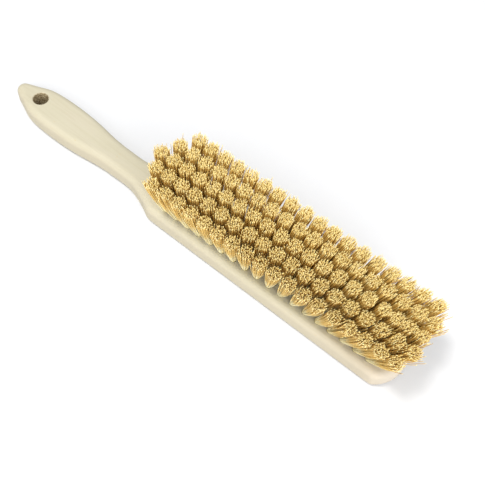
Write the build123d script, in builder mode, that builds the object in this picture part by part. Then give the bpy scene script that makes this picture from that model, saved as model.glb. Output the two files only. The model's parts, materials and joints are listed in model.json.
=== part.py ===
from build123d import *
import os
from math import cos, radians, sin, sqrt

# A bee brush lying on its back: a wooden stock with fibre tufts stapled into blind holes.
# Origin: on the flat back's centre line, a block end's length in from the block's rounded end.
# +X runs along the stock to that end, +Z is the way the bristles point, +Y goes across the block.

# ---- driving dimensions, mm ----
thickness = 14.0  # of the whole stock
edge_radius = 4.0  # rounded edge all round it, front and back

block_width = 36.0
block_end_x = 82.5  # the block end's length
block_end_radius = 21.5  # the end's curve, seen from above
block_corner_radius = 5.5  # where that curve meets the sides
shoulder_x = -88.0  # the full block width starts here

handle_tip_x = -219.5
nose_radius = 5.0
nose_angle = 65.0  # how far the nose's arc turns on each side
paddle_width = 25.4
neck_width = 17.6

hanging_hole_x = -199.5
hanging_hole_diameter = 10.0
hanging_hole_chamfer = 0.5

tuft_step = 8.6  # hole to hole along a row
row_gap = 5.5  # row to row
middle_row_tufts = 20
field_middle_x = -8.6  # of the tuft holes, which start right at the handle's shoulder
tuft_hole_diameter = 4.0
tuft_hole_depth = 8.5
tuft_play = 0.05  # radial, between a tuft and its hole
tuft_height = 37.0  # of the trimmed fibre ends over the block's face
tuft_top_diameter = 8.4

lean_all = 4.9  # of every tuft's end along the stock
lean_fan = 9.0  # more of it towards the ends of the field, at the last holes
held_back_tufts = 3  # the middle row's last ones, which lean out less than the fan
held_back_step = 1.9  # less by this from one to the next
held_back_top_diameter = 7.4  # they stand closer
lean_edge = 1.6  # along the stock, in the outer rows
lean_side = 9.8  # outwards, in the outer rows

wire_diameter = 0.7
wire_play = 0.03  # radial, round a staple's wire
staple_width = 2.6  # from leg to leg, on the wire's centre
staple_bend_radius = 0.6
fold_height = 1.2  # of the staple's crown over the bottom of the tuft hole
leg_grip = 3.3  # of the staple's legs in the wood

# ---- worked out from them ----
half_block = block_width / 2
hole_bottom_z = thickness - tuft_hole_depth
tuft_top_z = thickness + tuft_height
half_field = tuft_step * (middle_row_tufts - 1) / 2
last_column = middle_row_tufts - 1
first_hole_x = field_middle_x - half_field
last_fanned_x = first_hole_x + (last_column - held_back_tufts) * tuft_step
outer_row_y = 2 * row_gap


def tuft_line_places(column):
    """Places of the tufts in one zigzag line across the block."""
    x = first_hole_x + column * tuft_step
    places = [(x, 0)]
    if 0 < column < last_column:
        places += [(x, outer_row_y), (x, -outer_row_y)]
    if column < last_column:
        places += [(x + tuft_step / 2, row_gap), (x + tuft_step / 2, -row_gap)]
    return places


def tuft_top_place(x, y):
    """Centre of a tuft's trimmed end, for a tuft rooted at x, y."""
    along = lean_all + lean_fan * (x - field_middle_x) / half_field
    along += lean_edge * (y / outer_row_y) ** 2
    if y == 0 and x > last_fanned_x:
        along -= held_back_step * (x - last_fanned_x) / tuft_step
    across = lean_side * y / outer_row_y
    return x + along, y + across


def tuft_top_radius(x, y):
    """Radius of a tuft's trimmed end: less where the middle row's ends are held back."""
    close = y == 0 and x > last_fanned_x - tuft_step / 2
    return (held_back_top_diameter if close else tuft_top_diameter) / 2


tuft_lines = [tuft_line_places(column) for column in range(middle_row_tufts)]
tuft_places = [place for line in tuft_lines for place in line]

# ---- stock: block and handle in one piece of wood ----
nose_x = handle_tip_x + nose_radius
nose_end = radians(nose_angle)
nose_middle = nose_end / 2
end_chord_x = block_end_x - block_end_radius + sqrt(block_end_radius**2 - half_block**2)
handle_points = [
    (nose_x - nose_radius * cos(nose_end), nose_radius * sin(nose_end)),
    (handle_tip_x + 10, 7.4),
    (handle_tip_x + 17, 10.4),
    (handle_tip_x + 28, 12.3),
    (handle_tip_x + 42, paddle_width / 2),
    (-157, 11.5),
    (-141, 9.4),
    (-126, neck_width / 2),
    (-112, 9.5),
    (-103, 12.4),
    (-95.5, 15.7),
    (shoulder_x, half_block),
]

with BuildPart() as stock:
    with BuildSketch() as stock_plan:
        with BuildLine():
            ThreePointArc(
                (handle_tip_x, 0),
                (nose_x - nose_radius * cos(nose_middle), nose_radius * sin(nose_middle)),
                handle_points[0],
            )
            Spline(*handle_points, tangents=[(sin(nose_end), cos(nose_end)), (1, 0)])
            Line((shoulder_x, half_block), (end_chord_x, half_block))
            mirror(about=Plane.XZ)
            ThreePointArc((end_chord_x, half_block), (block_end_x, 0), (end_chord_x, -half_block))
        make_face()
        fillet(stock_plan.vertices().group_by(Axis.X)[-1], block_corner_radius)
    extrude(amount=thickness)
    fillet(stock.faces().sort_by(Axis.Z)[-1].edges(), edge_radius)
    fillet(stock.faces().sort_by(Axis.Z)[0].edges(), edge_radius)
    with Locations((hanging_hole_x, 0, thickness)):
        Hole(hanging_hole_diameter / 2)
    hole_rims = stock.edges().filter_by(GeomType.CIRCLE).filter_by(
        lambda edge: abs(edge.radius - hanging_hole_diameter / 2) < 1e-3
        and abs(edge.arc_center.X - hanging_hole_x) < 1e-3
    )
    chamfer(hole_rims, hanging_hole_chamfer)
    with Locations(*[(x, y, thickness) for x, y in tuft_places]):
        Hole(tuft_hole_diameter / 2, depth=tuft_hole_depth)
    leg_offsets = (staple_width / 2, -staple_width / 2)
    with Locations(*[(x, y + leg, hole_bottom_z) for x, y in tuft_places for leg in leg_offsets]):
        Hole(wire_diameter / 2 + wire_play, depth=leg_grip + wire_play)
stock.part.label = "stock"


# ---- staples: bent wire, crown over the tuft's fold, legs driven into the wood ----
def staple_solid(wire_radius):
    """One staple's wire, with the tuft hole's axis on Z and its bottom at z = 0."""
    half = staple_width / 2
    bend = staple_bend_radius
    turn = bend * (1 - sqrt(0.5))
    with BuildPart() as staple:
        with BuildLine() as wire:
            Line((0, half, -leg_grip), (0, half, fold_height - bend))
            ThreePointArc(
                (0, half, fold_height - bend),
                (0, half - turn, fold_height - turn),
                (0, half - bend, fold_height),
            )
            Line((0, half - bend, fold_height), (0, 0, fold_height))
            mirror(about=Plane.XZ)
        with BuildSketch(Plane.XY.offset(-leg_grip)):
            with Locations((0, half)):
                Circle(wire_radius)
        sweep(path=wire.wires()[0])
    return staple.part


staple_wire = staple_solid(wire_diameter / 2)
staple_groove = staple_solid(wire_diameter / 2 + wire_play)


def staple_line(line):
    """The staples of one line of tufts."""
    with BuildPart() as staples:
        with Locations(*[(x, y, hole_bottom_z) for x, y in line]):
            add(staple_wire)
    return staples.part


# ---- tufts: a straight folded root in the hole, flaring and leaning above the block's face ----
def tuft_line(line):
    """The tufts of one line across the block, each a solid of its own."""
    root_radius = tuft_hole_diameter / 2 - tuft_play
    with BuildPart() as tufts:
        for x, y in line:
            with BuildSketch(Plane.XY.offset(hole_bottom_z)):
                with Locations((x, y)):
                    Circle(root_radius)
            extrude(amount=tuft_hole_depth)
            with BuildSketch(Plane.XY.offset(thickness)):
                with Locations((x, y)):
                    Circle(root_radius)
            with BuildSketch(Plane.XY.offset(tuft_top_z)):
                with Locations(tuft_top_place(x, y)):
                    Circle(tuft_top_radius(x, y))
            loft()
        with Locations(*[(x, y, hole_bottom_z) for x, y in line]):
            add(staple_groove, mode=Mode.SUBTRACT)
    return tufts.part


os.makedirs("parts", exist_ok=True)
export_step(stock.part, "parts/stock.step")
for number, line in enumerate(tuft_lines, 1):
    tufts = tuft_line(line)
    tufts.label = f"tufts_{number:02d}"
    export_step(tufts, f"parts/{tufts.label}.step")
    staples = staple_line(line)
    staples.label = f"staples_{number:02d}"
    export_step(staples, f"parts/{staples.label}.step")
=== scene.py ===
import json
import math

import bpy
import numpy as np
from mathutils import Matrix, Vector


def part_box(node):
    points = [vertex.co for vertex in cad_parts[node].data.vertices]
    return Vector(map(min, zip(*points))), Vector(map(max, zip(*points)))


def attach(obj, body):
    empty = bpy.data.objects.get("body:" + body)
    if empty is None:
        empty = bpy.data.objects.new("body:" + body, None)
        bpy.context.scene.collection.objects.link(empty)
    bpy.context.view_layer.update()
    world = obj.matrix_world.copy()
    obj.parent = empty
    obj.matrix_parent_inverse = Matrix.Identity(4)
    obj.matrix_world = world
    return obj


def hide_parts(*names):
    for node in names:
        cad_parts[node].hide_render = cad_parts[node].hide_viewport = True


# A bee brush: the wooden stock is the CAD node with a wood material, and the tufts are rebuilt
# here fibre by fibre on the roots and ends of the CAD tufts. Metres, in the CAD frame.

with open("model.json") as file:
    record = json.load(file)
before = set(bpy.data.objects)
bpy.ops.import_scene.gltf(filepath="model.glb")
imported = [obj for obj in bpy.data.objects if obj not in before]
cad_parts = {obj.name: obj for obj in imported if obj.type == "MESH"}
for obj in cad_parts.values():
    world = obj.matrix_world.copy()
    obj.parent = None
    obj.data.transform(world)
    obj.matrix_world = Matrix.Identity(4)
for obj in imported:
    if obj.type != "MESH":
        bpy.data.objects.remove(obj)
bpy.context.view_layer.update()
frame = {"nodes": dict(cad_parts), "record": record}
nodes = frame["nodes"]
scene = bpy.context.scene
MM = 0.001
RANDOM = np.random.default_rng(18)

tuft_nodes = sorted(name for name in nodes if name.startswith("tufts_"))
staple_nodes = sorted(name for name in nodes if name.startswith("staples_"))
stock_low, stock_high = (Vector(corner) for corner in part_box("stock"))
FACE_Z = stock_high.z
hanging = next(m for m in frame["record"]["mounts"] if m["name"] == "hanging_hole")
HANGING_HOLE_X, HANGING_HOLE_Y = hanging["pos_m"][:2]
HANGING_HOLE_RADIUS = hanging["dims"]["r_mm"] * MM


# ---------------------------------------------------------------- materials

# texture scales; three numbers are for X, Y and Z, with the least along the fibres
BROAD_GRAIN = (16, 70, 70)
FINE_GRAIN = (30, 900, 900)
FLECK_GRAIN = (150, 520, 520)
FIBRE_STREAKS = (2600, 2600, 160)
FLECK_PATCHES = 210.0
HOLE_SHADE_SPOTS = 1500.0
WIRE_DRAWING = 900.0

# where the wood changes colour, and where the painted highlight on the rounded end comes in, as
# shares of the way from the origin to the rounded end
PINKER = (0.2, 0.85)
END_PAINTED_LIGHT_SPAN = (0.8, 1)

PINKER_WOOD = (0.430, 0.365, 0.282)
FLECK = (0.48, 0.38, 0.22)
# painted light: faces that look sideways are painted this warmer colour
SIDE_PAINTED_LIGHT = (0.478, 0.424, 0.315)
# painted light: the rounded end is painted this paler colour, a painted highlight
END_PAINTED_LIGHT = (0.585, 0.515, 0.42)
FLOOR = (0.65, 0.655, 0.67)

MATT = (0.62, 0.22)  # roughness and specular level
HOLE_SHADE_FADE = (0.15 * MM, 0.02 * MM)  # the hole's painted shade and spots fade in between these, outside its radius


class Shading:
    """A material with a Principled shader, and short-hands for adding nodes to its tree."""

    def __init__(self, name, roughness, specular):
        self.material = bpy.data.materials.new(name)
        self.material.use_nodes = True
        self.tree = self.material.node_tree
        self.shader = self.tree.nodes["Principled BSDF"].inputs
        self.shader["Roughness"].default_value = roughness
        self.shader["Specular IOR Level"].default_value = specular

    def add(self, kind, **settings):
        """A node; each setting is the value of one of its sockets or of one of its properties."""
        node = self.tree.nodes.new(kind)
        for key, value in settings.items():
            if key in node.inputs:
                node.inputs[key].default_value = value
            else:
                setattr(node, key, value)
        return node

    def feed(self, socket, value):
        """Links a socket to another one, or gives it a plain colour or number."""
        if isinstance(value, bpy.types.NodeSocket):
            self.tree.links.new(value, socket)
        elif isinstance(value, tuple):
            socket.default_value = (*value, 1)
        else:
            socket.default_value = value

    def place(self):
        """Object coordinates."""
        return self.add("ShaderNodeTexCoord").outputs["Object"]

    def stretched(self, scale):
        """Object coordinates, stretched so that grain runs one way."""
        mapping = self.add("ShaderNodeMapping", Scale=scale)
        self.feed(mapping.inputs["Vector"], self.place())
        return mapping.outputs["Vector"]

    def component(self, vector, axis):
        """One component of a vector."""
        split = self.add("ShaderNodeSeparateXYZ")
        self.feed(split.inputs["Vector"], vector)
        return split.outputs[axis]

    def attribute(self, name):
        """A point attribute of the mesh."""
        return self.add("ShaderNodeAttribute", attribute_name=name).outputs["Fac"]

    def noise(self, vector, **settings):
        """Noise at the given coordinates."""
        node = self.add("ShaderNodeTexNoise", **settings)
        self.feed(node.inputs["Vector"], vector)
        return node.outputs["Fac"]

    def ramp(self, value, stops):
        """A colour ramp through (position, colour) stops."""
        node = self.add("ShaderNodeValToRGB")
        elements = node.color_ramp.elements
        while len(elements) < len(stops):
            elements.new(0.5)
        for element, (position, colour) in zip(elements, stops):
            element.position = position
            element.color = (*colour, 1)
        self.feed(node.inputs["Fac"], value)
        return node.outputs["Color"]

    def fade(self, value, start, stop, low=0.0, high=1.0):
        """A number that goes from low to high while the given one goes from start to stop."""
        node = self.add("ShaderNodeMapRange", **{
            "From Min": start, "From Max": stop, "To Min": low, "To Max": high,
        })
        self.feed(node.inputs["Value"], value)
        return node.outputs["Result"]

    def mix(self, kind, factor, first, second):
        """Mixes two colours; each argument is a socket or a plain value."""
        node = self.add("ShaderNodeMix", data_type="RGBA", blend_type=kind)
        for index, value in ((0, factor), (6, first), (7, second)):
            self.feed(node.inputs[index], value)
        return node.outputs[2]

    def bump(self, height, strength, distance):
        """Gives the shader a bump."""
        node = self.add("ShaderNodeBump", Strength=strength, Distance=distance)
        self.feed(node.inputs["Height"], height)
        self.feed(self.shader["Normal"], node.outputs["Normal"])


def wood_material():
    wood = Shading("pale_wood", *MATT)
    place = wood.place()
    along = wood.component(place, "X")

    broad = wood.noise(wood.stretched(BROAD_GRAIN), Scale=1.0, Detail=2.0, Roughness=0.5)
    colour = wood.ramp(broad, [
        (0.3, (0.445, 0.408, 0.300)),
        (0.5, (0.458, 0.424, 0.315)),
        (0.72, (0.470, 0.431, 0.329)),
    ])
    # the wood turns a little pinker towards the block's rounded end
    pinker = wood.fade(along, *(share * stock_high.x for share in PINKER), high=0.8)
    colour = wood.mix("MIX", pinker, colour, PINKER_WOOD)

    grain = wood.noise(
        wood.stretched(FINE_GRAIN), Scale=1.0, Detail=4.0, Roughness=0.62, Distortion=0.4
    )
    grain_shade = wood.ramp(grain, [
        (0.30, (0.90, 0.88, 0.83)),
        (0.52, (1, 1, 1)),
        (0.8, (1.03, 1.03, 1.04)),
    ])
    colour = wood.mix("MULTIPLY", 0.55, colour, grain_shade)

    # short darker flecks, here and there
    flecks = wood.add("ShaderNodeTexVoronoi", Scale=1.0, Randomness=1.0)
    wood.feed(flecks.inputs["Vector"], wood.stretched(FLECK_GRAIN))
    fleck_mask = wood.ramp(flecks.outputs["Distance"], [
        (0.0, (1, 1, 1)),
        (0.10, (0.75, 0.75, 0.75)),
        (0.17, (0, 0, 0)),
    ])
    patches = wood.noise(place, Scale=FLECK_PATCHES, Detail=1.0)
    patch_mask = wood.ramp(patches, [(0.52, (0, 0, 0)), (0.64, (0.7, 0.7, 0.7))])
    fleck_amount = wood.mix("MULTIPLY", 1.0, fleck_mask, patch_mask)
    colour = wood.mix("MIX", fleck_amount, colour, FLECK)

    # painted light: faces that look sideways are painted a little warmer, and the rounded end is
    # painted the palest
    normal = wood.add("ShaderNodeNewGeometry").outputs["Normal"]
    upright = wood.add("ShaderNodeMath", operation="ABSOLUTE")
    wood.feed(upright.inputs[0], wood.component(normal, "Z"))
    painted_side_light = wood.ramp(upright.outputs[0], [(0.2, (0.55, 0.55, 0.55)), (0.95, (0, 0, 0))])
    colour = wood.mix("MIX", painted_side_light, colour, SIDE_PAINTED_LIGHT)
    # painted highlight: the wood is painted paler over the rounded end, where the overhanging tufts
    # shade it
    end_painted_light = wood.fade(along, *(share * stock_high.x for share in END_PAINTED_LIGHT_SPAN))
    colour = wood.mix("MIX", end_painted_light, colour, END_PAINTED_LIGHT)

    # the hanging hole is bored across the wood: inside, its wall is painted darker as painted
    # shade, and spotted
    from_axis = wood.add("ShaderNodeVectorMath", operation="MULTIPLY_ADD")
    from_axis.inputs[1].default_value = (1, 1, 0)
    from_axis.inputs[2].default_value = (-HANGING_HOLE_X, -HANGING_HOLE_Y, 0)
    wood.feed(from_axis.inputs[0], place)
    distance = wood.add("ShaderNodeVectorMath", operation="LENGTH")
    wood.feed(distance.inputs[0], from_axis.outputs["Vector"])
    hole_shade = wood.fade(
        distance.outputs["Value"], *(HANGING_HOLE_RADIUS + outside for outside in HOLE_SHADE_FADE)
    )
    hole_shade_spots = wood.ramp(wood.noise(place, Scale=HOLE_SHADE_SPOTS, Detail=3.0, Roughness=0.75), [
        (0.42, (0.10, 0.06, 0.025)),
        (0.5, (0.34, 0.26, 0.14)),
        (0.6, (0.62, 0.54, 0.36)),
    ])
    colour = wood.mix("MIX", hole_shade, colour, hole_shade_spots)

    wood.feed(wood.shader["Base Color"], colour)
    wood.feed(wood.shader["Roughness"], wood.fade(grain, 0.3, 0.8, 0.56, 0.7))
    wood.bump(grain, 0.18, 0.2 * MM)
    return wood.material


def fibre_material():
    """Colour from two point attributes: a fibre's tone, one value to a fibre with painted light
    added on the outer rows, and along, 0 at the root.
    """
    fibre = Shading("plant_fibre", *MATT)
    colour = fibre.ramp(fibre.attribute("tone_and_light"), [
        (0.0, (0.57, 0.37, 0.10)),
        (0.25, (0.70, 0.505, 0.17)),
        (0.6, (0.79, 0.60, 0.24)),
        (1.0, (0.83, 0.685, 0.34)),
    ])
    # painted light and shade along each fibre: pale over the root, which light reaches, darkest
    # just under the cut end, where the tufts shade each other, and pale on the cut, partly the
    # cut's own paleness and partly painted highlight
    length_shade = fibre.ramp(fibre.attribute("along"), [
        (0.2, (1.11, 1.26, 1.7)),
        (0.44, (1.1, 1.24, 1.65)),
        (0.68, (1.0, 0.91, 0.66)),
        (0.955, (0.95, 0.84, 0.57)),
        (0.985, (1.03, 1.10, 1.18)),
    ])
    colour = fibre.mix("MULTIPLY", 1.0, colour, length_shade)

    streaks = fibre.noise(fibre.stretched(FIBRE_STREAKS), Scale=1.0, Detail=3.0)
    streak_shade = fibre.ramp(streaks, [(0.3, (0.8, 0.75, 0.66)), (0.6, (1, 1, 1))])
    colour = fibre.mix("MULTIPLY", 0.6, colour, streak_shade)

    fibre.feed(fibre.shader["Base Color"], colour)
    fibre.bump(streaks, 0.25, 0.1 * MM)
    return fibre.material


def wire_material():
    wire = Shading("steel_wire", 0.34, 0.5)
    wire.feed(wire.shader["Metallic"], 1.0)
    drawn = wire.add("ShaderNodeTexNoise", Scale=WIRE_DRAWING, Detail=2.0).outputs["Fac"]
    shade = wire.ramp(drawn, [(0.3, (0.42, 0.42, 0.41)), (0.7, (0.62, 0.61, 0.59))])
    wire.feed(wire.shader["Base Color"], shade)
    return wire.material


def floor_material():
    ground = Shading("pale_floor", 0.9, 0.1)
    ground.feed(ground.shader["Base Color"], FLOOR)
    return ground.material


def put_material(obj, material):
    for slot in obj.material_slots:
        slot.material = material
    if not obj.material_slots:
        obj.data.materials.append(material)


# ---------------------------------------------------------------- tufts

FIBRES_PER_TUFT = 150
FIBRE_SIDES = 6
FIBRE_RADIUS = 0.17 * MM
FIBRE_SIZES = (0.75, 1.15)  # of that radius
FIBRE_FLATNESS = (0.7, 1.0)  # its width one way over its width the other way
TAPER = ([0, 0.9, 1], [0.85, 1.0, 1.18])  # of the radius, from the root to the cut end
WAVE_SIZES_MM = (0.1, 0.45)
HALF_WAVES = 1.6  # from the block's face to the cut end
CUT_SLANT = 0.12 * MM
GOLDEN_TURN = math.pi * (3 - math.sqrt(5))  # from one fibre of a tuft to the next

END_FLARE = 1.05  # how wide a tuft's end is, of the CAD tuft's
END_REACHES = (0.88, 1.1)  # how far across that end a fibre goes, of its even place
END_TWIST = 0.1  # radians
END_NOISE = 0.16 * MM
TOP_NOISE = 0.7 * MM
LEAN_EASE = 1.12  # over 1: a fibre leans most just above the block and straightens towards its end
FLARE_EASE = 1.45  # the same for how far a tuft has opened
RISE_STEPS = np.array([0.0, 0.04, 0.12, 0.3, 0.52, 0.76, 0.965, 1.0])  # block's face to cut end

STRAY_SHARE = 0.07
STRAY_SPREAD = 1.4 * MM
SHORT_SHARE = 0.06
SHORT_BY_MM = (1, 5)
FRAYED_FROM = stock_high.x - 45 * MM  # the tufts on from here are frayed outwards
FRAYED_SHARE = 0.3
FRAYED_OUT_MM = (0.5, 4.5)
FRAYED_DROPS = (0.3, 1.5)  # of how far out each frayed fibre goes

TINT_MIDDLE, TINT_SPREAD = 0.55, 0.24
OUTER_ROW_Y = 11 * MM
OUTER_PAINTED_LIGHT = 0.4  # painted light: the outer rows' outer fibres are painted the palest
WELD = 0.001 * MM
RIM_DEPTH = 0.1 * MM  # the points this near a tuft's bottom or top are its circles


def loose_parts(mesh):
    """The vertices of each separate solid of a mesh, as arrays; CAD faces meet only by place."""
    points = np.empty(len(mesh.vertices) * 3, dtype=np.float32)
    mesh.vertices.foreach_get("co", points)
    points = points.reshape(-1, 3).astype(float)
    welded = np.unique(np.round(points / WELD), axis=0, return_inverse=True)[1].ravel()
    edges = np.empty(len(mesh.edges) * 2, dtype=np.int32)
    mesh.edges.foreach_get("vertices", edges)
    edges = welded[edges.reshape(-1, 2)]
    group = np.arange(welded.max() + 1)
    while True:
        before = group.copy()
        low = np.minimum(group[edges[:, 0]], group[edges[:, 1]])
        np.minimum.at(group, edges[:, 0], low)
        np.minimum.at(group, edges[:, 1], low)
        group = group[group]
        if np.array_equal(before, group):
            break
    of_point = group[welded]
    return [points[of_point == value] for value in np.unique(of_point)]


def tuft_shape(points):
    """Root centre, root radius, bottom, end centre, end radius and top of one CAD tuft."""
    low, high = points[:, 2].min(), points[:, 2].max()
    root = points[points[:, 2] < low + RIM_DEPTH]
    end = points[points[:, 2] > high - RIM_DEPTH]

    def circle(ring):
        centre = (ring[:, :2].min(0) + ring[:, :2].max(0)) / 2
        return centre, (ring[:, 0].max() - ring[:, 0].min()) / 2

    return *circle(root), low, *circle(end), high


def around(angle, radius):
    """Flat places at those angles and radii."""
    return np.stack([np.cos(angle), np.sin(angle)], 1) * radius[:, None]


def centre_lines(shape):
    """One tuft's fibres: the points of their centre lines, their radii, and their tones with
    painted light added on the outer rows.
    """
    root_centre, root_radius, low, end_centre, end_radius, high = shape
    count = FIBRES_PER_TUFT
    order = np.arange(count) + 0.5
    angle = order * GOLDEN_TURN + RANDOM.uniform(0, 2 * math.pi)
    reach = np.sqrt(order / count)
    inner = root_radius - FIBRE_RADIUS
    root = around(angle, reach * inner)
    end_angle = angle + RANDOM.normal(0, END_TWIST, count)
    end = around(end_angle, reach * RANDOM.uniform(*END_REACHES, count) * END_FLARE * end_radius)
    end += RANDOM.normal(0, END_NOISE, (count, 2))
    stray = RANDOM.random(count) < STRAY_SHARE
    end[stray] += RANDOM.normal(0, STRAY_SPREAD, (stray.sum(), 2))
    top = high - np.abs(RANDOM.normal(0, TOP_NOISE, count))
    short = RANDOM.random(count) < SHORT_SHARE
    top[short] -= RANDOM.uniform(*SHORT_BY_MM, short.sum()) * MM

    # frayed next to the rounded end, but for the outer row on the -Y side
    fray = np.interp(root_centre[0], [FRAYED_FROM, stock_high.x], [0, 1])
    fray *= root_centre[1] > stock_low.y / 2
    frayed = RANDOM.random(count) < FRAYED_SHARE * fray
    outwards = RANDOM.uniform(*FRAYED_OUT_MM, frayed.sum()) * MM
    end[frayed, 0] += outwards
    top[frayed] -= outwards * RANDOM.uniform(*FRAYED_DROPS, frayed.sum())

    radius = RANDOM.uniform(*FIBRE_SIZES, count) * FIBRE_RADIUS
    wave_size = RANDOM.uniform(*WAVE_SIZES_MM, count) * MM
    wave_angle = RANDOM.uniform(0, 2 * math.pi, count)
    wave_phase = RANDOM.uniform(0, 2 * math.pi, count)
    # painted light: fibres on the outer side of the two outer rows are painted paler, where light
    # reaches the tuft field from outside
    outer_row = (root_centre[1] / OUTER_ROW_Y) ** 4
    outer_side = np.clip(root[:, 1] * np.sign(root_centre[1]) / inner, 0, 1)
    tone_and_light = RANDOM.normal(TINT_MIDDLE, TINT_SPREAD, count) + OUTER_PAINTED_LIGHT * outer_row * outer_side

    # the points: the bottom of the hole, the block's face, and on to the cut end
    rise = np.concatenate([[0.0], RISE_STEPS])
    leant = 1 - (1 - rise) ** LEAN_EASE
    opened = 1 - (1 - rise) ** FLARE_EASE
    turned = rise[None, :] * math.pi * HALF_WAVES + wave_phase[:, None]
    sway = np.sin(turned) - np.sin(wave_phase)[:, None]
    sway = sway * rise[None, :] * wave_size[:, None]
    side = np.stack([np.cos(wave_angle), np.sin(wave_angle)], 1)
    lean = end_centre - root_centre
    centre = np.empty((count, len(rise), 3))
    for axis in (0, 1):
        centre[:, :, axis] = (
            root_centre[axis]
            + lean[axis] * leant[None, :]
            + root[:, None, axis] * (1 - opened)[None, :]
            + end[:, None, axis] * opened[None, :]
            + side[:, None, axis] * sway
        )
    centre[:, 0, 2] = low
    centre[:, 1:, 2] = FACE_Z + RISE_STEPS[None, :] * (top - FACE_Z)[:, None]
    return centre, radius, np.clip(tone_and_light, 0, 1)


def fibres_of_tuft(shape):
    """Vertices of one tuft's fibres, with the tone (painted light included) and the share of the
    height of each.
    """
    low, high = shape[2], shape[5]
    centre, radius, tone_and_light = centre_lines(shape)
    count, rings = centre.shape[:2]

    turn = np.arange(FIBRE_SIDES) * 2 * math.pi / FIBRE_SIDES
    taper = np.interp(np.concatenate([[0.0], RISE_STEPS]), *TAPER)
    flatness = RANDOM.uniform(*FIBRE_FLATNESS, count)
    spin = RANDOM.uniform(0, math.pi, count)
    ring_x = np.cos(turn)[None, :] * radius[:, None]
    ring_y = np.sin(turn)[None, :] * (radius * flatness)[:, None]
    offset_x = ring_x * np.cos(spin)[:, None] - ring_y * np.sin(spin)[:, None]
    offset_y = ring_x * np.sin(spin)[:, None] + ring_y * np.cos(spin)[:, None]
    points = np.repeat(centre[:, :, None, :], FIBRE_SIDES, axis=2)
    points[..., 0] += offset_x[:, None, :] * taper[None, :, None]
    points[..., 1] += offset_y[:, None, :] * taper[None, :, None]

    # the trimmed end is cut a little aslant, and none stands over the CAD tuft's
    slant = RANDOM.normal(0, CUT_SLANT, (count, 2))
    cut = points[:, -1, :, 2]
    cut += np.cos(turn)[None, :] * slant[:, :1] + np.sin(turn)[None, :] * slant[:, 1:]
    np.minimum(cut, high, out=cut)

    heights = centre[:, :, 2]
    along = (heights - low) / (heights[:, -1] - low)[:, None]
    shape_of_all = (count, rings, FIBRE_SIDES)
    return (
        points.reshape(-1, 3),
        np.broadcast_to(tone_and_light[:, None, None], shape_of_all).reshape(-1),
        np.broadcast_to(along[:, :, None], shape_of_all).reshape(-1),
    )


def fibre_faces(fibre_count):
    """Side quads and the two end polygons of that many fibres, ring after ring."""
    rings = len(RISE_STEPS) + 1
    quads, ends = [], []
    for number in range(fibre_count):
        start = number * rings * FIBRE_SIDES
        last = start + (rings - 1) * FIBRE_SIDES
        for base in range(start, last, FIBRE_SIDES):
            over = base + FIBRE_SIDES
            for k in range(FIBRE_SIDES):
                after = (k + 1) % FIBRE_SIDES
                quads.append((base + k, base + after, over + after, over + k))
        ends.append(tuple(start + k for k in reversed(range(FIBRE_SIDES))))
        ends.append(tuple(last + k for k in range(FIBRE_SIDES)))
    return quads + ends


def build_tufts(name, material):
    """One piece of loose fibres in place of one CAD line of tufts."""
    parts = loose_parts(nodes[name].data)
    built = [fibres_of_tuft(tuft_shape(points)) for points in parts]
    points, tones_and_light, heights = (np.concatenate(values) for values in zip(*built))
    mesh = bpy.data.meshes.new(name + "_fibres")
    mesh.from_pydata(points.tolist(), [], fibre_faces(len(parts) * FIBRES_PER_TUFT))
    for attribute, values in (("tone_and_light", tones_and_light), ("along", heights)):
        layer = mesh.attributes.new(attribute, "FLOAT", "POINT")
        layer.data.foreach_set("value", values)
    mesh.materials.append(material)
    mesh.polygons.foreach_set("use_smooth", [len(p.vertices) == 4 for p in mesh.polygons])
    piece = bpy.data.objects.new(name + "_fibres", mesh)
    scene.collection.objects.link(piece)
    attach(piece, "root")
    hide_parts(name)


put_material(nodes["stock"], wood_material())
fibre_look = fibre_material()
wire_look = wire_material()
for name in staple_nodes:
    put_material(nodes[name], wire_look)
for name in tuft_nodes:
    build_tufts(name, fibre_look)


# ---------------------------------------------------------------- studio

FLOOR_SIZE = 6
SKY_COLOUR = (0.97, 0.985, 1.0, 1)
SKY_STRENGTH = 0.76
KEY_COLOUR = (1.0, 0.985, 0.96)
SOFT_COLOUR = (1.0, 0.99, 0.98)

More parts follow.
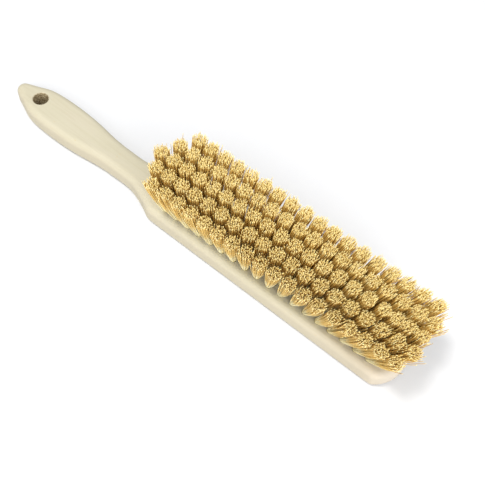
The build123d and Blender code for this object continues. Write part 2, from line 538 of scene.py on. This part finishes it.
bpy.ops.mesh.primitive_plane_add(size=FLOOR_SIZE, location=(0, 0, stock_low.z))
floor = bpy.context.object
floor.name = "studio_floor"
floor.data.materials.append(floor_material())

world = bpy.data.worlds.new("studio")
world.use_nodes = True
sky = world.node_tree.nodes["Background"].inputs
sky["Color"].default_value = SKY_COLOUR
sky["Strength"].default_value = SKY_STRENGTH
scene.world = world
scene.view_settings.view_transform = "Standard"


def area_light(name, place, target, size, power, colour):
    light = bpy.data.lights.new(name, "AREA")
    light.shape = "DISK"
    light.size = size
    light.energy = power
    light.color = colour
    lamp = bpy.data.objects.new(name, light)
    lamp.location = place
    lamp.rotation_euler = (Vector(target) - Vector(place)).to_track_quat("-Z", "Y").to_euler()
    scene.collection.objects.link(lamp)


area_light("key", (-0.36, -0.4, 1.55), (0, 0, 0), size=0.4, power=18, colour=KEY_COLOUR)
area_light("side", (0.95, -0.45, 0.6), (0.05, 0, 0), size=0.8, power=6.5, colour=SOFT_COLOUR)
area_light("fill", (0.4, -1.05, 0.65), (0, 0, 0), size=1.7, power=10.2, colour=SOFT_COLOUR)


# ---------------------------------------------------------------- camera

CAMERA_PLACE = Vector((0.0867, -0.1903, 0.3907))
CAMERA_AZIMUTH, CAMERA_ELEVATION, CAMERA_ROLL = (math.radians(a) for a in (32.03, 59.04, 7.74))
CAMERA_SENSOR_MM = 36
CAMERA_LENS_MM = 55.64
CAMERA_NEAREST = 0.01

level = math.cos(CAMERA_ELEVATION)
looking = Vector((
    -level * math.sin(CAMERA_AZIMUTH), level * math.cos(CAMERA_AZIMUTH), -math.sin(CAMERA_ELEVATION)
))
turned = looking.to_track_quat("-Z", "Y").to_matrix() @ Matrix.Rotation(CAMERA_ROLL, 3, "Z")
camera_data = bpy.data.cameras.new("camera")
camera_data.sensor_width = CAMERA_SENSOR_MM
camera_data.lens = CAMERA_LENS_MM
camera_data.clip_start = CAMERA_NEAREST
camera = bpy.data.objects.new("camera", camera_data)
camera.matrix_world = Matrix.Translation(CAMERA_PLACE) @ turned.to_4x4()
scene.collection.objects.link(camera)
scene.camera = camera
